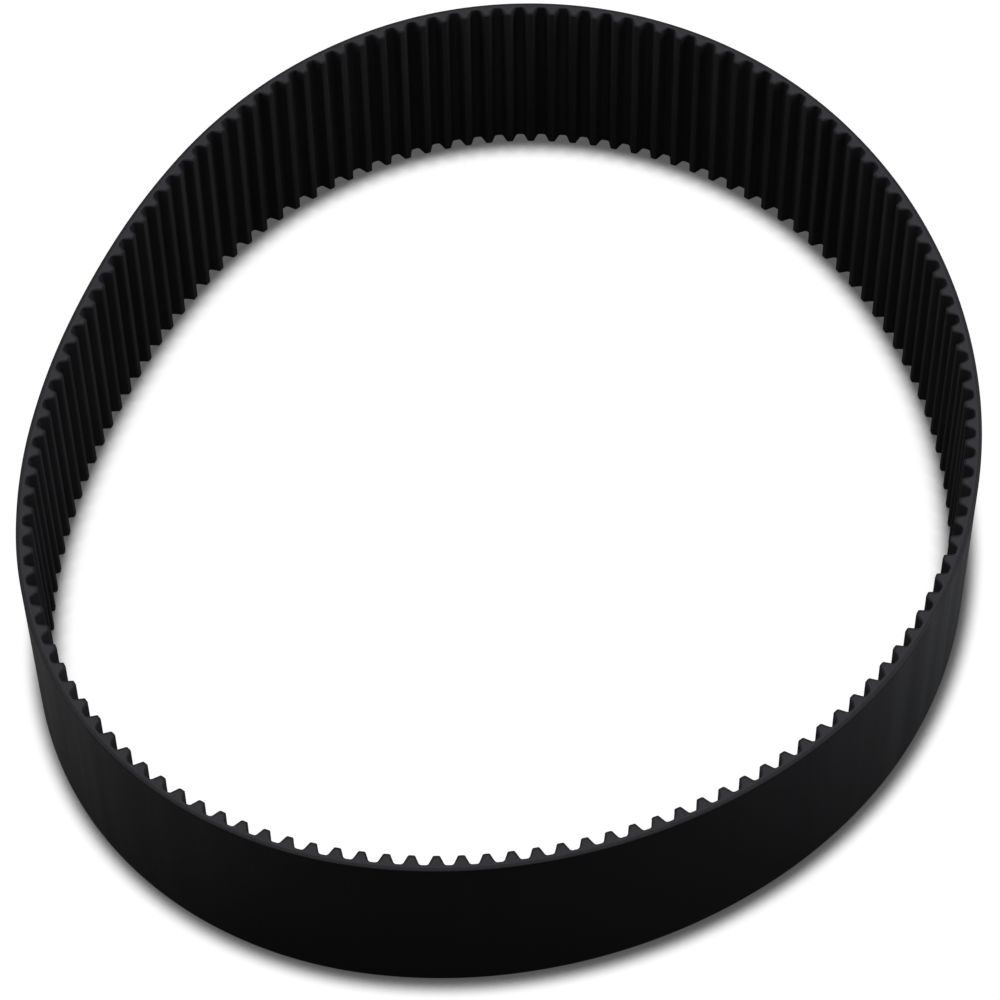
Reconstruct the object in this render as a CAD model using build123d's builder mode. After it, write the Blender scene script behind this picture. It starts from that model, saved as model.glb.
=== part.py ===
"""Wide endless timing belt with 132 moulded teeth, resting on one cut edge.

The belt is a loop of rubber built in layers. From the outside in they are a back cover, a
winding of glass-fibre tension cords, an adhesion gum that fills round the cords, a rubber core
in each tooth, and a woven nylon facing over the whole toothed side. The cords' centres lie on
the pitch line, which keeps its length however the belt bends, so every layer is drawn at a
distance from that line.

Lengths are in millimetres. The loop lies in the XY plane and its width runs up Z. The origin is
under the middle of the loop, on the plane that the belt stands on.
"""

from build123d import *
from collections import namedtuple
import cmath
import math
import os

os.makedirs("parts", exist_ok=True)

# Belt size
tooth_pitch = 8.0
tooth_count = 132
belt_width = 72.0
total_thickness = 5.6

# Tooth, as its woven facing shows it
tooth_height = 3.38
tooth_tip_half_width = 1.10
tooth_root_half_width = 2.66
tooth_tip_radius = 0.72
tooth_root_radius = 1.10

# Layers
pitch_line_above_land = 0.686
facing_on_land = 0.25
facing_on_tooth = 0.45
back_edge_radius = 0.90

# Tension cords: S twist and Z twist turns lie side by side in one winding
cord_diameter = 0.70
cord_spacing = 1.40
cord_turns = 51

# Shape that the slack loop takes when it stands on its edge: a circle pressed a little oval,
# fuller on one side than the other. Amounts are parts of the radius, headings are in degrees.
oval_amount, oval_heading = 0.071, 68.5
egg_amount, egg_heading = 0.0255, -24.5
corner_amount, corner_heading = 0.003, -42.0
loop_stations = 12

# Where the first tooth's centre lies, counted in pitches along the loop from its +X side
first_tooth = 0.15

back_rise = total_thickness - tooth_height - pitch_line_above_land
facing_back_depth = pitch_line_above_land - facing_on_land
cord_radius = cord_diameter / 2
first_cord_height = (belt_width - (cord_turns - 1) * cord_spacing) / 2

# ---------------------------------------------------------------- pitch line of the resting loop

Arc = namedtuple("Arc", "centre radius start sweep")

loop_waves = (
    (2, oval_amount, oval_heading),
    (3, egg_amount, egg_heading),
    (4, corner_amount, corner_heading),
)


def loop_station(angle):
    """Point and direction of the loop's curve, for a mean radius of 1, as complex numbers."""
    radius, slope = 1.0, 0.0
    for count, amount, heading in loop_waves:
        phase = count * (angle - math.radians(heading))
        radius += amount * math.cos(phase)
        slope -= amount * count * math.sin(phase)
    outward = cmath.rect(1, angle)
    direction = complex(slope, radius) * outward
    return radius * outward, direction / abs(direction)


def dot(a, b):
    return (a * b.conjugate()).real


def arc_between(start, direction, end):
    """Arc that leaves start in the given direction and turns left until it meets end."""
    chord = end - start
    left = direction * 1j
    radius = abs(chord) ** 2 / (2 * dot(chord, left))
    centre = start + radius * left
    sweep = 2 * math.asin(abs(chord) / (2 * radius))
    return Arc(centre, radius, cmath.phase(start - centre), sweep)


def tangent_arcs():
    """Pairs of tangent arcs from station to station, so that the loop has no corner."""
    step = 2 * math.pi / loop_stations
    arcs = []
    for index in range(loop_stations):
        start, leaving = loop_station(index * step)
        end, arriving = loop_station((index + 1) * step)
        chord, both = end - start, leaving + arriving
        spread = 2 * (1 - dot(leaving, arriving))
        along = dot(chord, both)
        reach = (math.sqrt(along**2 + spread * abs(chord) ** 2) - along) / spread
        middle = (start + end + reach * (leaving - arriving)) / 2
        first = arc_between(start, leaving, middle)
        middle_direction = (middle - first.centre) * 1j
        arcs += [first, arc_between(middle, middle_direction / abs(middle_direction), end)]
    return arcs


def scaled(arcs, factor):
    return [Arc(arc.centre * factor, arc.radius * factor, arc.start, arc.sweep) for arc in arcs]


def moved(arcs, shift):
    return [Arc(arc.centre + shift, arc.radius, arc.start, arc.sweep) for arc in arcs]


def loop_length(arcs):
    return sum(arc.radius * arc.sweep for arc in arcs)


def loop_outline(arcs, inward):
    """Closed outline all round the loop, at one distance inward from the pitch line."""
    with BuildLine() as outline:
        for arc in arcs:
            CenterArc(
                (arc.centre.real, arc.centre.imag),
                arc.radius - inward,
                math.degrees(arc.start),
                math.degrees(arc.sweep),
            )
    return outline.wire()


unplaced_arcs = tangent_arcs()
unplaced_arcs = scaled(unplaced_arcs, tooth_pitch * tooth_count / loop_length(unplaced_arcs))
unplaced_middle = loop_outline(unplaced_arcs, -back_rise).bounding_box().center()
pitch_arcs = moved(unplaced_arcs, -complex(unplaced_middle.X, unplaced_middle.Y))


def place(distance, inward):
    """Point at a distance along the pitch line and a depth inward from it."""
    distance %= loop_length(pitch_arcs)
    for arc in pitch_arcs:
        if distance <= arc.radius * arc.sweep:
            break
        distance -= arc.radius * arc.sweep
    point = arc.centre + cmath.rect(arc.radius - inward, arc.start + distance / arc.radius)
    return point.real, point.imag


cord_heights = [first_cord_height + turn * cord_spacing for turn in range(cord_turns)]


def band(outer, inner):
    """Face of one layer of the loop, between two depths inward from the pitch line."""
    make_face(loop_outline(pitch_arcs, outer))
    make_face(loop_outline(pitch_arcs, inner), mode=Mode.SUBTRACT)


# ---------------------------------------------------------------- back cover
# Smooth outer rubber, over the cords. Its outer corners are eased by grinding.

with BuildPart() as back_cover:
    with BuildSketch():
        band(-back_rise, -cord_radius)
    extrude(amount=belt_width)
    cut_faces = back_cover.faces().sort_by(Axis.Z)
    lower_corner = cut_faces[0].outer_wire().edges()
    upper_corner = cut_faces[-1].outer_wire().edges()
    fillet(lower_corner + upper_corner, radius=back_edge_radius)
back_cover.part.label = "back_cover"
export_step(back_cover.part, "parts/back_cover.step")

# ---------------------------------------------------------------- adhesion gum
# Thin rubber band between the back cover and the facing, with a channel for each cord turn, so
# that its ribs fill the gaps between the cords.

channel_planes = [Plane.XY.offset(height - cord_radius) for height in cord_heights]

with BuildPart() as adhesion_gum:
    with BuildSketch():
        band(-cord_radius, facing_back_depth)
    extrude(amount=belt_width)
    with BuildSketch(*channel_planes):
        band(-cord_radius, cord_radius)
    extrude(amount=cord_diameter, mode=Mode.SUBTRACT)
adhesion_gum.part.label = "adhesion_gum"
export_step(adhesion_gum.part, "parts/adhesion_gum.step")

# ---------------------------------------------------------------- tension cords
# Each turn of the winding is a closed ring on the pitch line, as wide and as deep as the cord.
# Turns of S twist and Z twist alternate from one edge to the other.


def cord_turn(height):
    with BuildPart() as turn:
        with BuildSketch(Plane.XY.offset(height - cord_radius)):
            band(-cord_radius, cord_radius)
        extrude(amount=cord_diameter)
    return turn.part


for turn_index, height in enumerate(cord_heights):
    twist = "sz"[turn_index % 2]
    label = f"tension_cord_{twist}_turn_{turn_index // 2 + 1:02d}"
    cord = cord_turn(height)
    cord.label = label
    export_step(cord, f"parts/{label}.step")

# ---------------------------------------------------------------- tooth profile
# Points are (distance from the tooth's centre, height above the land). The rubber core's
# outline lies inside the facing's, by the facing's thickness.

flank_slope = (tooth_root_half_width - tooth_tip_half_width) / tooth_height
facing_across_flank = facing_on_tooth * math.hypot(1, flank_slope)
core_height = tooth_height - facing_on_tooth
core_tip_radius = tooth_tip_radius - facing_on_tooth


def core_half_width(height):
    return tooth_root_half_width - flank_slope * height - facing_across_flank


facing_corners = (
    (tooth_root_half_width, 0, tooth_root_radius),
    (tooth_tip_half_width, tooth_height, tooth_tip_radius),
)
core_corners = (
    (core_half_width(-facing_on_land), -facing_on_land, 0),
    (core_half_width(core_height), core_height, core_tip_radius),
)


def on_tooth(index, along, height):
    """Point of one tooth on the bent loop. Tooth heights are measured from the land."""
    distance = (first_tooth + index) * tooth_pitch + along
    return place(distance, pitch_line_above_land + height)


def rounded_corner(before, corner, after, radius):
    """Start, middle and end of the arc that rounds a corner, in the tooth's own plane."""
    corner, before, after = complex(*corner), complex(*before), complex(*after)
    back, on = (before - corner) / abs(before - corner), (after - corner) / abs(after - corner)
    half_angle = math.acos(dot(back, on)) / 2
    setback = radius / math.tan(half_angle)
    bisector = (back + on) / abs(back + on)
    middle = corner + bisector * radius * (1 / math.sin(half_angle) - 1)
    points = (corner + back * setback, middle, corner + on * setback)
    return [(point.real, point.imag) for point in points]


def tooth_profile(corners):
    """Corner list of one tooth from its rising side to its falling side, each (x, h, radius)."""
    rising = [(-x, h, radius) for x, h, radius in corners]
    return rising + list(reversed(corners))


def draw_tooth(index, corners):
    """Draw one tooth's side, tip and side, and give the two points where they start and end."""
    profile = tooth_profile(corners)
    level = profile[0][1]
    points = [(-tooth_pitch / 2, level)] + [(x, h) for x, h, radius in profile]
    points.append((tooth_pitch / 2, level))
    first = last = None
    for position, (x, h, radius) in enumerate(profile, start=1):
        start = end = on_tooth(index, x, h)
        if radius:
            rounded = rounded_corner(points[position - 1], (x, h), points[position + 1], radius)
            start, middle, end = [on_tooth(index, *point) for point in rounded]
            ThreePointArc(start, middle, end)
        if last:
            Line(last, start)
        first = first or start
        last = end
    return first, last


def toothed_outline(corners):
    """Closed outline of the whole toothed side, as a list of edges."""
    edges, ends = [], []
    for index in range(tooth_count):
        with BuildLine() as one_tooth:
            ends.append(draw_tooth(index, corners))
        edges += one_tooth.edges()
    for index in range(tooth_count):
        land_start = ends[index][1]
        land_middle = on_tooth(index, tooth_pitch / 2, corners[0][1])
        land_end = ends[(index + 1) % tooth_count][0]
        with BuildLine() as one_land:
            ThreePointArc(land_start, land_middle, land_end)
        edges += one_land.edges()
    return edges


# ---------------------------------------------------------------- tooth cores
# One block of rubber in each tooth, from the adhesion gum to the facing at the tooth's tip.

with BuildPart() as tooth_cores:
    with BuildSketch():
        for index in range(tooth_count):
            with BuildLine():
                core_start, core_end = draw_tooth(index, core_corners)
                ThreePointArc(core_end, on_tooth(index, 0, -facing_on_land), core_start)
            make_face()
    extrude(amount=belt_width)
tooth_cores.part.label = "tooth_cores"
export_step(tooth_cores.part, "parts/tooth_cores.step")

# ---------------------------------------------------------------- tooth facing
# One endless sleeve of woven nylon that follows every tooth and land.

with BuildPart() as tooth_facing:
    with BuildSketch():
        make_face(toothed_outline(core_corners))
        make_face(toothed_outline(facing_corners), mode=Mode.SUBTRACT)
    extrude(amount=belt_width)
tooth_facing.part.label = "tooth_facing"
export_step(tooth_facing.part, "parts/tooth_facing.step")
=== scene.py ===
import bpy
import cmath
import math
import numpy as np
from mathutils import Matrix, Vector


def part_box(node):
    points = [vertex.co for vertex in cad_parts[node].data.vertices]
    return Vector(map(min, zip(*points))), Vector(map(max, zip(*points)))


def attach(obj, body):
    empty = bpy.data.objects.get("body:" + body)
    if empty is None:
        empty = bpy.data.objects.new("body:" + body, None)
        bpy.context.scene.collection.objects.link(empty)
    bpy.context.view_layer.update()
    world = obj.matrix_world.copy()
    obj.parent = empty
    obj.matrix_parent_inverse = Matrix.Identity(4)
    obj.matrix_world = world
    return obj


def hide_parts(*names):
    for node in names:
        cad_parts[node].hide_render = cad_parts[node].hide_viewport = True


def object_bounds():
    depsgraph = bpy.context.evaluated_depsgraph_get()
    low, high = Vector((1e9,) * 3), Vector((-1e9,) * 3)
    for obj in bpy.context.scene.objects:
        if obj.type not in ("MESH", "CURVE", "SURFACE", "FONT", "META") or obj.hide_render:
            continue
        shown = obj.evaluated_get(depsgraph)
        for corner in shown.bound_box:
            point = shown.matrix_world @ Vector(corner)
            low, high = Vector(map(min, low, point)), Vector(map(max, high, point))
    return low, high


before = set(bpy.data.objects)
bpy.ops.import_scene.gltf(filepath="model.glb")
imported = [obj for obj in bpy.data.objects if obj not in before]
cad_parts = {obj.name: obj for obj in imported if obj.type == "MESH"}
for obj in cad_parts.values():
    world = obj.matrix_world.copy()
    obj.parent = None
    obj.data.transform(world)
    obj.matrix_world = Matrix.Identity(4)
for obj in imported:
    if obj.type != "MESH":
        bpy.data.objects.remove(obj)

cad_low, cad_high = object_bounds()

# ------------------------------------------------------------------------------------------------
# Tooth facing
# One endless sleeve of woven nylon, the first thing drawn over the toothed mould. Rubber pressed
# through the cords behind it pushes it down into every groove, which makes the teeth.

mm = 0.001
tooth_pitch = 8.0
tooth_count = 132
belt_width = 72.0
belt_length = tooth_pitch * tooth_count
total_thickness = 5.6
tooth_height = 3.38
tooth_tip_half_width = 1.10
tooth_root_half_width = 2.66
tooth_tip_radius = 0.72
tooth_root_radius = 1.10
land_depth = 0.686
facing_on_land = 0.25
facing_on_tooth = 0.45
facing_thickening = 3.0     # it is at its full thickness a third of the way up the flank
first_tooth = 0.15
points_per_corner = 6
points_per_flank = 4
points_per_land = 5
facing_edge_setback = 0.05
facing_levels = 9

# The slack loop is a circle pressed a little oval and fuller on one side, drawn as tangent arcs:
# how many waves go round it, how high they are as a part of the radius, and where they point.
loop_waves = ((2, 0.071, 68.5), (3, 0.0255, -24.5), (4, 0.003, -42.0))
loop_stations = 12


def loop_station(angle):
    """Point and direction of the loop's curve for a mean radius of 1, as complex numbers."""
    radius, slope = 1.0, 0.0
    for count, amount, heading in loop_waves:
        phase = count * (angle - math.radians(heading))
        radius += amount * math.cos(phase)
        slope -= amount * count * math.sin(phase)
    outward = cmath.rect(1, angle)
    direction = complex(slope, radius) * outward
    return radius * outward, direction / abs(direction)


def dot(a, b):
    """Dot product of two complex numbers."""
    return (a * b.conjugate()).real


def arc_between(start, direction, end):
    """Centre, radius, start angle and sweep of the arc that leaves start in one direction."""
    chord = end - start
    left = direction * 1j
    radius = abs(chord) ** 2 / (2 * dot(chord, left))
    centre = start + radius * left
    return centre, radius, cmath.phase(start - centre), 2 * math.asin(abs(chord) / (2 * radius))


def loop_arcs():
    """Two tangent arcs from each station to the next, scaled to the belt's pitch length."""
    arcs = []
    for index in range(loop_stations):
        start, leaving = loop_station(index * math.tau / loop_stations)
        end, arriving = loop_station((index + 1) * math.tau / loop_stations)
        chord, both = end - start, leaving + arriving
        spread = 2 * (1 - dot(leaving, arriving))
        along = dot(chord, both)
        reach = (math.sqrt(along**2 + spread * abs(chord) ** 2) - along) / spread
        middle = (start + end + reach * (leaving - arriving)) / 2
        first = arc_between(start, leaving, middle)
        turned = (middle - first[0]) * 1j
        arcs += [first, arc_between(middle, turned / abs(turned), end)]
    factor = belt_length / sum(radius * sweep for centre, radius, start, sweep in arcs)
    return [(centre * factor, radius * factor, start, sweep)
            for centre, radius, start, sweep in arcs]


arcs = loop_arcs()
arc_centres = np.array([arc[0] for arc in arcs])
arc_radii = np.array([arc[1] for arc in arcs])
arc_starts = np.array([arc[2] for arc in arcs])
arc_ends = np.cumsum([arc[1] * arc[3] for arc in arcs])


def on_loop(distance, inward):
    """Points at distances along the pitch line and depths inward from it, as complex numbers."""
    distance = np.asarray(distance, float) % belt_length
    index = np.minimum(np.searchsorted(arc_ends, distance), len(arcs) - 1)
    before = np.where(index > 0, arc_ends[index - 1], 0.0)
    radius = arc_radii[index]
    angle = arc_starts[index] + (distance - before) / radius
    return arc_centres[index] + (radius - inward) * np.exp(1j * angle)


back_low, back_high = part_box("back_cover")
back_depth = tooth_height + land_depth - total_thickness
outer_line = on_loop(np.linspace(0, belt_length, 40000), back_depth)
loop_shift = (
    complex((back_low.x + back_high.x) / 2, (back_low.y + back_high.y) / 2) / mm
    - complex(outer_line.real.max() + outer_line.real.min(),
              outer_line.imag.max() + outer_line.imag.min()) / 2
)
arc_centres = arc_centres + loop_shift


def rounded(before, corner, after, radius, count):
    """Points of the arc that rounds one corner of a profile."""
    back = (before - corner) / abs(before - corner)
    on = (after - corner) / abs(after - corner)
    half_angle = math.acos(dot(back, on)) / 2
    setback = radius / math.tan(half_angle)
    centre = corner + (back + on) / abs(back + on) * radius / math.sin(half_angle)
    first = cmath.phase(corner + back * setback - centre)
    last = cmath.phase(corner + on * setback - centre)
    sweep = (last - first + math.pi) % math.tau - math.pi
    return [centre + cmath.rect(radius, first + sweep * i / (count - 1)) for i in range(count)]


def tooth_profile():
    """Face of the facing over one pitch: distance from tooth centre + 1j * height above land."""
    half = tooth_pitch / 2
    root = complex(-tooth_root_half_width, 0)
    tip = complex(-tooth_tip_half_width, tooth_height)
    foot = rounded(complex(-half, 0), root, tip, tooth_root_radius, points_per_corner)
    head = rounded(root, tip, -tip.conjugate(), tooth_tip_radius, points_per_corner)
    land = [complex(x, 0) for x in np.linspace(-half, foot[0].real, points_per_land)[:-1]]
    flank = [foot[-1] + (head[0] - foot[-1]) * t for t in np.linspace(0, 1, points_per_flank)[1:-1]]
    crown = [complex(x, tooth_height) for x in np.linspace(head[-1].real, 0, 3)[1:]]
    rising = land + foot + flank + head + crown
    falling = [-point.conjugate() for point in reversed(rising[1:-1])]
    return np.array(rising + falling)


profile = tooth_profile()
profile_height = np.clip(profile.imag / tooth_height, 0, 1)
ahead = np.roll(profile, -1)
ahead[-1] += tooth_pitch
behind = np.roll(profile, 1)
behind[0] -= tooth_pitch
profile_direction = (ahead - behind) / abs(ahead - behind)
facing_share = np.minimum(profile_height * facing_thickening, 1)
facing_thickness = facing_on_land + (facing_on_tooth - facing_on_land) * facing_share
rubber_profile = profile - 1j * profile_direction * facing_thickness

tooth_centres = (np.arange(tooth_count) + first_tooth) * tooth_pitch


def around_the_belt(points):
    """Repeat one pitch of a profile for every tooth and bend it round the loop."""
    distance = (tooth_centres[:, None] + points.real[None, :]).ravel()
    height = np.tile(points.imag, tooth_count)
    return on_loop(distance, land_depth + height)


def mesh_object(name, points, faces, mapping):
    """Object from points in millimetres, quads, and each face corner's place in the weave map."""
    mesh = bpy.data.meshes.new(name)
    mesh.from_pydata((points * mm).tolist(), [], faces.tolist())
    layer = mesh.uv_layers.new(name="belt_map")
    layer.data.foreach_set("uv", (mapping * mm).ravel())
    mesh.polygons.foreach_set("use_smooth", [True] * len(mesh.polygons))
    mesh.validate()
    piece = bpy.data.objects.new(name, mesh)
    bpy.context.scene.collection.objects.link(piece)
    return piece


def closed_sweep(name, sections, lengths, section_lengths):
    """Closed tube from an array of stations by section points. Both run round to their start."""
    stations, count = sections.shape[:2]
    i, j = np.meshgrid(np.arange(stations), np.arange(count), indexing="ij")
    i, j = i.ravel(), j.ravel()
    i_next, j_next = (i + 1) % stations, (j + 1) % count
    here, onward = i * count, i_next * count
    faces = np.stack([here + j, onward + j, onward + j_next, here + j_next], 1)
    u, v = lengths[i], section_lengths[j]
    u_next, v_next = lengths[i + 1], section_lengths[j + 1]
    mapping = np.stack([u, v, u_next, v, u_next, v_next, u, v_next], 1)
    return mesh_object(name, sections.reshape(-1, 3), faces, mapping)


def running_length(points):
    """Length along a closed line of points, from its start back to its start."""
    steps = np.abs(np.diff(np.append(points, points[0])))
    return np.concatenate([[0], np.cumsum(steps)])


facing_face = around_the_belt(profile)
facing_rubber_side = around_the_belt(rubber_profile)
facing_heights = np.linspace(facing_edge_setback, belt_width - facing_edge_setback, facing_levels)


def wall(line, heights):
    """Grid of points that lifts a line of complex points to each height."""
    grid = np.empty((len(line), len(heights), 3))
    grid[:, :, 0] = line.real[:, None]
    grid[:, :, 1] = line.imag[:, None]
    grid[:, :, 2] = heights
    return grid


facing_sections = np.concatenate(
    [wall(facing_rubber_side, facing_heights), wall(facing_face, facing_heights[::-1])], 1)
facing_map = np.concatenate([facing_heights, belt_width + facing_heights, [2 * belt_width]])
tooth_facing = closed_sweep(
    "tooth_facing_sleeve", facing_sections, running_length(facing_face), facing_map)


def noise_grain():
    """Fine grain for any of the belt's materials: a height for the bump and a slow colour mask."""
    group = bpy.data.node_groups.new("fine_grain", "ShaderNodeTree")
    face = group.interface
    face.new_socket(name="Vector", in_out="INPUT", socket_type="NodeSocketVector")
    scale = face.new_socket(name="Grains per Metre", in_out="INPUT", socket_type="NodeSocketFloat")
    scale.default_value = 2500
    patch = face.new_socket(name="Patches per Metre", in_out="INPUT", socket_type="NodeSocketFloat")
    patch.default_value = 90
    face.new_socket(name="Height", in_out="OUTPUT", socket_type="NodeSocketFloat")
    face.new_socket(name="Patches", in_out="OUTPUT", socket_type="NodeSocketFloat")
    nodes, links = group.nodes, group.links
    given = nodes.new("NodeGroupInput")
    result = nodes.new("NodeGroupOutput")
    grains = nodes.new("ShaderNodeTexNoise")
    grains.inputs["Detail"].default_value = 4
    grains.inputs["Roughness"].default_value = 0.65
    patches = nodes.new("ShaderNodeTexNoise")
    patches.inputs["Detail"].default_value = 3
    links.new(given.outputs["Vector"], grains.inputs["Vector"])
    links.new(given.outputs["Grains per Metre"], grains.inputs["Scale"])
    links.new(given.outputs["Vector"], patches.inputs["Vector"])
    links.new(given.outputs["Patches per Metre"], patches.inputs["Scale"])
    links.new(grains.outputs["Fac"], result.inputs["Height"])
    links.new(patches.outputs["Fac"], result.inputs["Patches"])
    return group


knife_mark_scale = 1400
knife_mark_angle = math.radians(38)
knife_mark_stretch = 0.35
cut_face_tilt = (0.70, 0.995)


def cut_edge():
    """Mask of the faces that the slitting knife left, from the direction that they face."""
    group = bpy.data.node_groups.new("knife_cut", "ShaderNodeTree")
    face = group.interface
    face.new_socket(name="Cut", in_out="OUTPUT", socket_type="NodeSocketFloat")
    face.new_socket(name="Knife Marks", in_out="OUTPUT", socket_type="NodeSocketFloat")
    nodes, links = group.nodes, group.links
    result = nodes.new("NodeGroupOutput")
    place = nodes.new("ShaderNodeTexCoord")
    split = nodes.new("ShaderNodeSeparateXYZ")
    size = nodes.new("ShaderNodeMath")
    size.operation = "ABSOLUTE"
    step = nodes.new("ShaderNodeMapRange")
    step.interpolation_type = "SMOOTHSTEP"
    step.inputs["From Min"].default_value = cut_face_tilt[0]
    step.inputs["From Max"].default_value = cut_face_tilt[1]
    links.new(place.outputs["Normal"], split.inputs["Vector"])
    links.new(split.outputs["Z"], size.inputs[0])
    links.new(size.outputs["Value"], step.inputs["Value"])
    links.new(step.outputs["Result"], result.inputs["Cut"])
    marks = nodes.new("ShaderNodeTexNoise")
    marks.inputs["Scale"].default_value = knife_mark_scale
    marks.inputs["Detail"].default_value = 3
    stretch = nodes.new("ShaderNodeMapping")
    stretch.inputs["Scale"].default_value = (1.0, knife_mark_stretch, 1.0)
    stretch.inputs["Rotation"].default_value = (0, 0, knife_mark_angle)
    links.new(place.outputs["Object"], stretch.inputs["Vector"])
    links.new(stretch.outputs["Vector"], marks.inputs["Vector"])
    links.new(marks.outputs["Fac"], result.inputs["Knife Marks"])
    return group


grain_group = noise_grain()
cut_group = cut_edge()


def placed(nodes, group):
    """One use of a shader node group in a material."""
    node = nodes.new("ShaderNodeGroup")
    node.node_tree = group
    return node


def maths(nodes, links, operation, a, b):
    """Math node of two values, each a socket or a number."""
    node = nodes.new("ShaderNodeMath")
    node.operation = operation
    for index, value in enumerate((a, b)):
        if isinstance(value, (int, float)):
            node.inputs[index].default_value = value
        else:
            links.new(value, node.inputs[index])
    return node.outputs["Value"]


def blended(nodes, links, amount, low, high):
    """Colour between two, each a socket or a colour, by an amount that changes over the surface."""
    node = nodes.new("ShaderNodeMix")
    node.data_type = "RGBA"
    links.new(amount, node.inputs["Factor"])
    for name, value in (("A", low), ("B", high)):
        socket = next(s for s in node.inputs if s.name == name and s.type == "RGBA")
        if isinstance(value, tuple):
            socket.default_value = (*value, 1)
        else:
            links.new(value, socket)
    return next(s for s in node.outputs if s.type == "RGBA")


def ranged(nodes, links, value, from_low, from_high, to_low, to_high):
    """Value moved from one range to another."""
    node = nodes.new("ShaderNodeMapRange")
    links.new(value, node.inputs["Value"])
    for name, number in (("From Min", from_low), ("From Max", from_high),
                         ("To Min", to_low), ("To Max", to_high)):
        node.inputs[name].default_value = number
    return node.outputs["Result"]


def new_material(name):
    """Empty material with one shader joined to its output."""
    material = bpy.data.materials.new(name)
    material.use_nodes = True
    nodes, links = material.node_tree.nodes, material.node_tree.links
    nodes.clear()
    shader = nodes.new("ShaderNodeBsdfPrincipled")
    output = nodes.new("ShaderNodeOutputMaterial")
    links.new(shader.outputs["BSDF"], output.inputs["Surface"])
    return material, nodes, links, shader


def bumped(nodes, links, shader, height, distance):
    """Relief of a height map on a shader, in metres."""
    bump = nodes.new("ShaderNodeBump")
    bump.inputs["Distance"].default_value = distance
    links.new(height, bump.inputs["Height"])
    links.new(bump.outputs["Normal"], shader.inputs["Normal"])


# The cloth is worn paler in slow streaks along the teeth, and is darkest where the knife cut it.
facing_warp_colour = (0.0036, 0.0037, 0.0042)
facing_worn_colour = (0.0124, 0.0126, 0.0134)
facing_cut_colour = (0.0020, 0.0020, 0.0025)
thread_pitch = 0.00032
thread_stretch = 1.25
weave_relief = 0.00004


def facing_material():
    """Black nylon twill: two sets of threads that cross, dipped in rubber and worn in streaks."""
    material, nodes, links, shader = new_material("woven_nylon_facing")
    place = nodes.new("ShaderNodeUVMap")
    place.uv_map = "belt_map"
    split = nodes.new("ShaderNodeSeparateXYZ")
    links.new(place.outputs["UV"], split.inputs["Vector"])
    threads_along = math.tau / thread_pitch
    threads_across = math.tau / thread_pitch / thread_stretch
    along = maths(nodes, links, "MULTIPLY", split.outputs["X"], threads_along)
    across = maths(nodes, links, "MULTIPLY", split.outputs["Y"], threads_across)
    warp = maths(nodes, links, "SINE", maths(nodes, links, "ADD", along, across), 0)
    weft = maths(nodes, links, "SINE", maths(nodes, links, "SUBTRACT", along, across), 0)
    weave = maths(nodes, links, "MULTIPLY", warp, weft)
    streak_map = nodes.new("ShaderNodeMapping")
    streak_map.inputs["Scale"].default_value = (1.0, 0.03, 1.0)
    links.new(place.outputs["UV"], streak_map.inputs["Vector"])
    grain = placed(nodes, grain_group)
    grain.inputs["Grains per Metre"].default_value = 1300
    grain.inputs["Patches per Metre"].default_value = 220
    links.new(streak_map.outputs["Vector"], grain.inputs["Vector"])
    cut = placed(nodes, cut_group)
    wear = ranged(nodes, links, grain.outputs["Patches"], 0.35, 0.7, 0.15, 0.9)
    cloth = blended(nodes, links, wear, facing_warp_colour, facing_worn_colour)
    colour = blended(nodes, links, cut.outputs["Cut"], cloth, facing_cut_colour)
    links.new(colour, shader.inputs["Base Color"])
    roughness = ranged(nodes, links, grain.outputs["Height"], 0.3, 0.7, 0.55, 0.75)
    links.new(roughness, shader.inputs["Roughness"])
    shader.inputs["Specular IOR Level"].default_value = 0.2
    threads = maths(nodes, links, "MULTIPLY", weave, 0.5)
    height = maths(nodes, links, "ADD", threads, grain.outputs["Height"])
    bumped(nodes, links, shader, height, weave_relief)
    return material


tooth_facing.data.materials.append(facing_material())
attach(tooth_facing, "root")
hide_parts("tooth_facing")

# ------------------------------------------------------------------------------------------------
# Tooth cores
# The rubber inside each tooth, pressed between the cords and into the facing while it is soft.
# Its ends show where the knife cut the belt to width.

core_levels = 5
core_foot_height = 0.02
core_crease = math.radians(40)
is_core = rubber_profile.imag > -facing_on_land + core_foot_height
core_first = int(np.argmax(is_core)) - 1
core_last = len(is_core) - int(np.argmax(is_core[::-1]))
core_top = rubber_profile[core_first:core_last + 1]
core_base = core_top[1:-1].real - 1j * facing_on_land
core_outline = np.concatenate([core_top, core_base[::-1]])
core_heights = np.linspace(0, belt_width, core_levels)

# On the cut ends the rubber is darker in a band along the facing, deepest at the tooth's tip.
rind_depth = 0.75
rind_flank_share = 0.22
core_rise = (core_top.imag + facing_on_land) / (core_top.imag.max() + facing_on_land)
rind_share = np.minimum(core_rise * 2, 1)
rind_across = core_top.real * (1 - rind_flank_share * rind_share)
rind_line = rind_across + 1j * (core_top.imag - rind_depth * rind_share * core_rise)


def cut_end_rows(level, end):
    """Corner numbers along one cut end of a core: facing side, inside of the rind, and gum side."""
    count, last = len(core_outline), len(core_top) - 1
    top = [k * core_levels + level for k in range(last + 1)]
    first_inner = count * core_levels + end * (last - 1)
    inner = [top[0], *range(first_inner, first_inner + last - 1), top[-1]]
    base = [top[0], *[(count - k) * core_levels + level for k in range(1, last)], top[-1]]
    return top, inner, base


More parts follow.
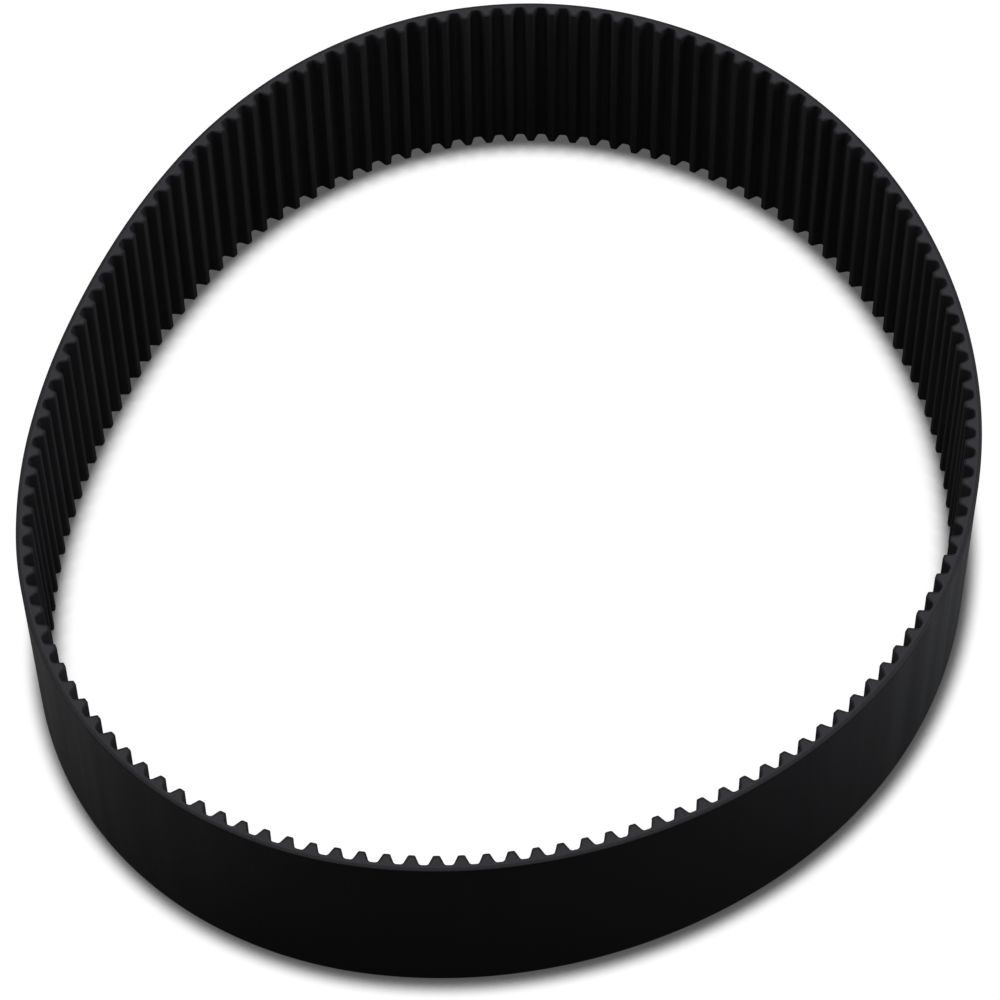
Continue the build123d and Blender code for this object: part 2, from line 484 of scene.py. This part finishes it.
def core_faces():
    """Faces of one tooth core: its wall level by level, then its two cut ends."""
    count = len(core_outline)
    faces = []
    for level in range(core_levels - 1):
        for k in range(count):
            here, onward = k * core_levels + level, (k + 1) % count * core_levels + level
            faces.append([here, here + 1, onward + 1, onward])
    for end, level in enumerate((0, core_levels - 1)):
        top, inner, base = cut_end_rows(level, end)
        for k in range(len(top) - 1):
            for near, far in ((inner, top), (base, inner)):
                corners = list(dict.fromkeys([near[k], near[k + 1], far[k + 1], far[k]]))
                if len(corners) > 2:
                    faces.append(corners if level else corners[::-1])
    return faces


def core_points():
    """Points of every tooth core: its wall level by level, then the rind's inside at each end."""
    distance = (tooth_centres[:, None] + core_outline.real[None, :]).ravel()
    height = np.tile(core_outline.imag, tooth_count)
    walls = wall(on_loop(distance, land_depth + height), core_heights)
    rind = rind_line[1:-1]
    rind_distance = (tooth_centres[:, None] + rind.real[None, :]).ravel()
    rind_inward = land_depth + np.tile(rind.imag, tooth_count)
    ends = wall(on_loop(rind_distance, rind_inward), core_heights[[0, -1]])
    walls = walls.reshape(tooth_count, -1, 3)
    ends = ends.reshape(tooth_count, len(rind), 2, 3).transpose(0, 2, 1, 3)
    return np.concatenate([walls, ends.reshape(tooth_count, -1, 3)], 1)


def tooth_cores_object():
    """All the cores in one object. Its rind map is 0 at the facing and 1 inside the rind."""
    one_core, points = core_faces(), core_points()
    step = points.shape[1]
    starts = range(0, tooth_count * step, step)
    faces = [[corner + start for corner in face] for start in starts for face in one_core]
    mesh = bpy.data.meshes.new("tooth_core_rubber")
    mesh.from_pydata((points.reshape(-1, 3) * mm).tolist(), [], faces)
    corners = np.array([loop.vertex_index for loop in mesh.loops]) % step
    walls = len(core_outline) * core_levels
    base = (corners // core_levels >= len(core_top)) & (corners < walls)
    inside = (corners >= walls) | base
    layer = mesh.uv_layers.new(name="rind_map")
    layer.data.foreach_set("uv", np.stack([inside.astype(float), corners / step], 1).ravel())
    mesh.polygons.foreach_set("use_smooth", [True] * len(mesh.polygons))
    mesh.set_sharp_from_angle(angle=core_crease)
    piece = bpy.data.objects.new("tooth_core_rubber", mesh)
    bpy.context.scene.collection.objects.link(piece)
    return piece


tooth_cores = tooth_cores_object()

cut_rubber_light = (0.0247, 0.0238, 0.0270)
cut_rubber_dark = (0.0147, 0.0142, 0.0164)
rind_colour = (0.0064, 0.0062, 0.0072)
moulded_rubber = (0.0022, 0.0022, 0.0025)
moulded_patch_lift = 1.5
cut_extra_roughness = 0.3
rubber_relief = 0.00003


def rubber_material(name, streaks, cut_shade, roughness_low, roughness_high, specular, rind=False):
    """Black chloroprene rubber, smooth where it was moulded or ground and paler where it was cut.

    streaks squeezes its grain up the belt, and cut_shade darkens its cut face as painted shade.
    """
    material, nodes, links, shader = new_material(name)
    place = nodes.new("ShaderNodeTexCoord")
    squeeze = nodes.new("ShaderNodeMapping")
    squeeze.inputs["Scale"].default_value = (1.0, 1.0, streaks)
    links.new(place.outputs["Object"], squeeze.inputs["Vector"])
    grain = placed(nodes, grain_group)
    links.new(squeeze.outputs["Vector"], grain.inputs["Vector"])
    cut = placed(nodes, cut_group)
    moulded = blended(nodes, links, grain.outputs["Patches"], moulded_rubber,
                      tuple(c * moulded_patch_lift for c in moulded_rubber))
    sawn_dark = tuple(c * cut_shade for c in cut_rubber_dark)
    sawn_light = tuple(c * cut_shade for c in cut_rubber_light)
    sawn = blended(nodes, links, cut.outputs["Knife Marks"], sawn_dark, sawn_light)
    if rind:
        depth = nodes.new("ShaderNodeUVMap")
        depth.uv_map = "rind_map"
        split = nodes.new("ShaderNodeSeparateXYZ")
        links.new(depth.outputs["UV"], split.inputs["Vector"])
        sawn = blended(nodes, links, split.outputs["X"], rind_colour, sawn)
    links.new(blended(nodes, links, cut.outputs["Cut"], moulded, sawn), shader.inputs["Base Color"])
    smooth = ranged(nodes, links, grain.outputs["Patches"], 0.3, 0.7, roughness_low, roughness_high)
    rough = maths(nodes, links, "MULTIPLY", cut.outputs["Cut"], cut_extra_roughness)
    links.new(maths(nodes, links, "ADD", smooth, rough), shader.inputs["Roughness"])
    shader.inputs["Specular IOR Level"].default_value = specular
    height = maths(nodes, links, "ADD", grain.outputs["Height"], cut.outputs["Knife Marks"])
    bumped(nodes, links, shader, height, rubber_relief)
    return material


tooth_cores.data.materials.append(rubber_material(
    "tooth_rubber", streaks=1.0, cut_shade=1.0, roughness_low=0.5, roughness_high=0.6,
    specular=0.2, rind=True))
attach(tooth_cores, "root")
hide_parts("tooth_cores")

# ------------------------------------------------------------------------------------------------
# Tension cords
# Glass yarn, three plies twisted together and dipped so that rubber bonds to it. It is wound on
# over the facing in one long helix, S twist beside Z twist so that the belt tracks straight.

cord_radius = 0.35
cord_spacing = 1.40
cord_turns = 51
cord_stations = 1056
ply_valley_radius = 0.27
lays_round_belt = 66
plies = 3
points_per_ply = 2
first_cord_height = (belt_width - (cord_turns - 1) * cord_spacing) / 2


def cord_mesh(name, twist):
    """One closed turn round the pitch line, its plies twisted one way (1) or the other (-1)."""
    distance = np.arange(cord_stations) * belt_length / cord_stations
    centre = on_loop(distance, 0)
    outward = centre - on_loop(distance, 1)
    count = plies * points_per_ply
    j = np.arange(count)
    radius = np.where(j % points_per_ply == 0, cord_radius, ply_valley_radius)
    turn = twist * math.tau * lays_round_belt * distance / belt_length
    angle = turn[:, None] + math.tau * j[None, :] / count
    across = centre[:, None] + outward[:, None] * radius * np.cos(angle)
    sections = np.stack([across.real, across.imag, radius * np.sin(angle)], 2)
    lengths = np.append(distance, belt_length)
    section_lengths = np.arange(count + 1) * math.tau * cord_radius / count
    return closed_sweep(name, sections, lengths, section_lengths)


fibre_shade = 0.45
fibre_relief = 0.00003


def cord_material(name, colour):
    """Dipped glass yarn: amber brown, with the filaments showing as fine lines along each ply."""
    material, nodes, links, shader = new_material(name)
    place = nodes.new("ShaderNodeUVMap")
    place.uv_map = "belt_map"
    fibres = nodes.new("ShaderNodeMapping")
    fibres.inputs["Scale"].default_value = (0.08, 1.0, 1.0)
    links.new(place.outputs["UV"], fibres.inputs["Vector"])
    grain = placed(nodes, grain_group)
    grain.inputs["Grains per Metre"].default_value = 9000
    grain.inputs["Patches per Metre"].default_value = 600
    links.new(fibres.outputs["Vector"], grain.inputs["Vector"])
    dark = tuple(c * fibre_shade for c in colour)
    shade = blended(nodes, links, grain.outputs["Patches"], dark, colour)
    links.new(shade, shader.inputs["Base Color"])
    roughness = ranged(nodes, links, grain.outputs["Height"], 0.3, 0.7, 0.4, 0.6)
    links.new(roughness, shader.inputs["Roughness"])
    bumped(nodes, links, shader, grain.outputs["Height"], fibre_relief)
    return material


s_cord = cord_mesh("s_twist_cord", 1)
z_cord = cord_mesh("z_twist_cord", -1)
s_cord.data.materials.append(cord_material("glass_cord_s_twist", (0.20, 0.105, 0.045)))
z_cord.data.materials.append(cord_material("glass_cord_z_twist", (0.16, 0.090, 0.045)))
for turn in range(cord_turns):
    twist = "sz"[turn % 2]
    number = f"{turn // 2 + 1:02d}"
    if turn < 2:
        cord = (s_cord, z_cord)[turn]
    else:
        cord = bpy.data.objects.new("cord", (s_cord, z_cord)[turn % 2].data)
        bpy.context.scene.collection.objects.link(cord)
    cord.name = f"glass_cord_{twist}_turn_{number}"
    cord.location.z = (first_cord_height + turn * cord_spacing) * mm
    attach(cord, "root")
    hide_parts(f"tension_cord_{twist}_turn_{number}")

# ------------------------------------------------------------------------------------------------
# Adhesion gum
# Soft rubber calendered round the cords. It fills the spaces between them and bonds them to the
# facing inside and to the back cover outside.

gum_stations = 264
gum_inner_depth = land_depth - facing_on_land
groove_points = 5
inside_levels = 9


def gum_section():
    """Corners of the gum across the belt, as (depth) + 1j * (height), going up the inside first."""
    inside = [complex(gum_inner_depth, z) for z in np.linspace(0, belt_width, inside_levels)]
    outside = [complex(-cord_radius, belt_width)]
    for turn in reversed(range(cord_turns)):
        height = first_cord_height + turn * cord_spacing
        outside.append(complex(-cord_radius, height + cord_radius))
        for angle in np.linspace(math.pi / 2, -math.pi / 2, groove_points):
            outside.append(1j * height + cmath.rect(cord_radius, angle))
        outside.append(complex(-cord_radius, height - cord_radius))
    outside.append(complex(-cord_radius, 0))
    return np.array(inside + outside)


def swept_band(name, section, stations):
    """Closed band of one section, given as depths and heights, swept all round the loop."""
    distance = np.arange(stations) * belt_length / stations
    section = section[::-1]     # so that the faces point out of the rubber
    line = on_loop(np.repeat(distance, len(section)), np.tile(section.real, stations))
    sections = np.stack([line.real, line.imag, np.tile(section.imag, stations)], 1)
    return closed_sweep(name, sections.reshape(stations, len(section), 3),
                        np.append(distance, belt_length), running_length(section))


adhesion_gum = swept_band("cord_bonding_gum", gum_section(), gum_stations)
adhesion_gum.data.materials.append(rubber_material(
    "gum_rubber", streaks=1.0, cut_shade=1.0, roughness_low=0.5, roughness_high=0.6, specular=0.2))
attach(adhesion_gum, "root")
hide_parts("adhesion_gum")

# ------------------------------------------------------------------------------------------------
# Back cover
# The smooth outside of the belt: rubber sheet wrapped over the cords, cured, then ground to the
# belt's thickness, with its corners eased.

back_stations = 528
back_levels = 37
back_edge_width = 1.20
back_edge_drop = 0.45
back_edge_points = 9
band_crease = math.radians(50)


def back_section():
    """Corners of the back cover across the belt, with its two outer corners eased."""
    inner, outer = -cord_radius, back_depth
    inside = [complex(inner, z) for z in np.linspace(0, belt_width, inside_levels)]
    corner = complex(outer, belt_width)
    round_corner = rounded(
        complex(inner, belt_width), corner, complex(outer, 0), 1, back_edge_points)
    eased = [point - corner for point in round_corner]
    upper = [corner + complex(p.real * back_edge_width, p.imag * back_edge_drop) for p in eased]
    lower = [complex(point.real, belt_width - point.imag) for point in reversed(upper)]
    face_heights = np.linspace(upper[-1].imag, lower[0].imag, back_levels)[1:-1]
    face = [complex(outer, z) for z in face_heights]
    return np.array(inside + upper + face + lower)


back_cover = swept_band("ground_back_cover", back_section(), back_stations)
# cut_shade=0.74 darkens the back cover's cut faces: painted shade standing in for the fall-off over
# its eased edges.
back_cover.data.materials.append(rubber_material(
    "back_rubber", streaks=0.04, cut_shade=0.74, roughness_low=0.38, roughness_high=0.5,
    specular=0.1))
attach(back_cover, "root")
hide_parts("back_cover")

for piece in (tooth_facing, s_cord, z_cord, adhesion_gum, back_cover):
    piece.data.set_sharp_from_angle(angle=band_crease)

# ------------------------------------------------------------------------------------------------
# Floor and light
# A plain white sweep that glows evenly for the camera, with a painted shadow where the belt's lower
# edge stands on it.

floor_radius = 3.0
floor_drop = 0.00005
floor_stations = 264
bounce_from, bounce_to = 0.09, 0.20     # how far out the floor starts and stops getting lighter
brightest = 1.02


def floor_material(name, bounce_middle, bounce_sides, reach, lean, from_low, from_high, darkest):
    """White glow for the camera, with a painted shadow close to the belt. It gives back more light
    towards the sides.
    """
    material = bpy.data.materials.new(name)
    material.use_nodes = True
    nodes, links = material.node_tree.nodes, material.node_tree.links
    nodes.clear()
    output = nodes.new("ShaderNodeOutputMaterial")
    mix = nodes.new("ShaderNodeMixShader")
    path = nodes.new("ShaderNodeLightPath")
    glow = nodes.new("ShaderNodeEmission")
    matt = nodes.new("ShaderNodeBsdfDiffuse")
    # An occlusion test, leaned to one side, paints a soft shadow into the floor's glow near the
    # belt: painted shadow.
    near = nodes.new("ShaderNodeAmbientOcclusion")
    near.inputs["Distance"].default_value = reach
    near.samples = 16
    place = nodes.new("ShaderNodeTexCoord")
    split = nodes.new("ShaderNodeSeparateXYZ")
    links.new(place.outputs["Object"], split.inputs["Vector"])
    from_middle = maths(nodes, links, "ABSOLUTE", split.outputs["X"], 0)
    bounce = ranged(nodes, links, from_middle, bounce_from, bounce_to, bounce_middle, bounce_sides)
    links.new(bounce, matt.inputs["Color"])
    towards = nodes.new("ShaderNodeCombineXYZ")
    for axis, amount in zip("XYZ", lean):
        towards.inputs[axis].default_value = amount
    links.new(towards.outputs["Vector"], near.inputs["Normal"])
    shade = nodes.new("ShaderNodeMapRange")
    shade.interpolation_type = "SMOOTHSTEP"
    shade.inputs["From Min"].default_value = from_low
    shade.inputs["From Max"].default_value = from_high
    shade.inputs["To Min"].default_value = darkest
    shade.inputs["To Max"].default_value = brightest
    links.new(near.outputs["AO"], shade.inputs["Value"])
    links.new(shade.outputs["Result"], glow.inputs["Color"])
    links.new(path.outputs["Is Camera Ray"], mix.inputs["Fac"])
    links.new(matt.outputs["BSDF"], mix.inputs[1])
    links.new(glow.outputs["Emission"], mix.inputs[2])
    links.new(mix.outputs["Shader"], output.inputs["Surface"])
    return material


def floor_part(name, rings, material):
    """Flat part of the floor between two rings of points, or inside the one that is given."""
    count = len(rings[0])
    points = [(point.real, point.imag, 0) for ring in rings for point in ring]
    if len(rings) == 1:
        faces = [list(range(count))]
    else:
        faces = [[k, k + count, (k + 1) % count + count, (k + 1) % count] for k in range(count)]
    mesh = bpy.data.meshes.new(name)
    mesh.from_pydata(points, [], faces)
    part = bpy.data.objects.new(name, mesh)
    bpy.context.scene.collection.objects.link(part)
    part.location.z = cad_low.z - floor_drop
    part.data.materials.append(material)


under_belt = on_loop(np.linspace(0, belt_length, floor_stations, endpoint=False), 0) * mm
floor_rim = under_belt / abs(under_belt) * floor_radius
floor_part("floor_inside", [under_belt], floor_material(
    "floor_inside", bounce_middle=0.05, bounce_sides=0.05, reach=0.0115, lean=(0.0, 0.27, 0.9),
    from_low=0.427, from_high=0.966, darkest=0.10))
floor_part("floor_outside", [under_belt, floor_rim], floor_material(
    "floor_outside", bounce_middle=0.08, bounce_sides=0.235, reach=0.0099,
    lean=(-0.117, 0.223, 0.9), from_low=0.457, from_high=0.895, darkest=0.083))

room = bpy.data.worlds.new("studio")
bpy.context.scene.world = room
room.use_nodes = True
room_nodes, room_links = room.node_tree.nodes, room.node_tree.links
room_nodes.clear()
room_output = room_nodes.new("ShaderNodeOutputWorld")
room_seen = room_nodes.new("ShaderNodeBackground")
room_seen.inputs["Color"].default_value = (1, 1, 1, 1)
room_lit = room_nodes.new("ShaderNodeBackground")
room_lit.inputs["Color"].default_value = (0.93, 0.95, 1.0, 1)
room_lit.inputs["Strength"].default_value = 0.25
room_path = room_nodes.new("ShaderNodeLightPath")
room_mix = room_nodes.new("ShaderNodeMixShader")
room_links.new(room_path.outputs["Is Camera Ray"], room_mix.inputs["Fac"])
room_links.new(room_lit.outputs["Background"], room_mix.inputs[1])
room_links.new(room_seen.outputs["Background"], room_mix.inputs[2])
room_links.new(room_mix.outputs["Shader"], room_output.inputs["Surface"])


def softbox(name, place, aim, width, height, power, colour):
    """Rectangular soft light, in metres and watts, turned towards its aim."""
    light = bpy.data.lights.new(name, "AREA")
    light.shape = "RECTANGLE"
    light.size = width
    light.size_y = height
    light.energy = power
    light.color = colour
    lamp = bpy.data.objects.new(name, light)
    lamp.location = place
    lamp.rotation_mode = "QUATERNION"
    lamp.rotation_quaternion = (Vector(aim) - Vector(place)).to_track_quat("-Z", "Y")
    bpy.context.scene.collection.objects.link(lamp)
    return lamp


belt_middle = (0, 0, 0.03)
softbox("top_softbox", (0.0, 0.5, 1.3), belt_middle, 1.4, 1.0, power=14, colour=(0.95, 0.97, 1))
softbox("left_softbox", (-1.3, -0.1, 0.6), belt_middle, 0.6, 1.2, power=10.5, colour=(1, 1, 1))
softbox("right_softbox", (1.3, -0.1, 0.6), belt_middle, 0.6, 1.2, power=18, colour=(0.94, 0.96, 1))
softbox("front_softbox", (0.0, -1.0, 1.2), belt_middle, 1.2, 0.6, power=5, colour=(0.97, 0.98, 1))

# ------------------------------------------------------------------------------------------------
# Camera
# It looks down over the belt's front from a long way off, so the far side is hardly smaller.

camera_elevation = math.radians(55.948)
camera_roll = math.radians(-0.989)
camera_distance = 1.4426
camera_lens = 152.32
camera_aim = Vector((-0.00098, -0.01357, 0.03594))

camera_data = bpy.data.cameras.new("camera")
camera_data.sensor_width = 36
camera_data.lens = camera_lens
camera_data.clip_start = 0.05
camera_data.clip_end = 20
camera = bpy.data.objects.new("camera", camera_data)
bpy.context.scene.collection.objects.link(camera)
forward = Vector((0, math.cos(camera_elevation), -math.sin(camera_elevation)))
upright = Vector((0, math.sin(camera_elevation), math.cos(camera_elevation)))
sideways = Vector((1, 0, 0))
camera_x = sideways * math.cos(camera_roll) + upright * math.sin(camera_roll)
camera_y = upright * math.cos(camera_roll) - sideways * math.sin(camera_roll)
camera.matrix_world = Matrix.LocRotScale(
    camera_aim - forward * camera_distance,
    Matrix((camera_x, camera_y, -forward)).transposed(), None)
bpy.context.scene.camera = camera
bpy.context.scene.view_settings.view_transform = "Standard"
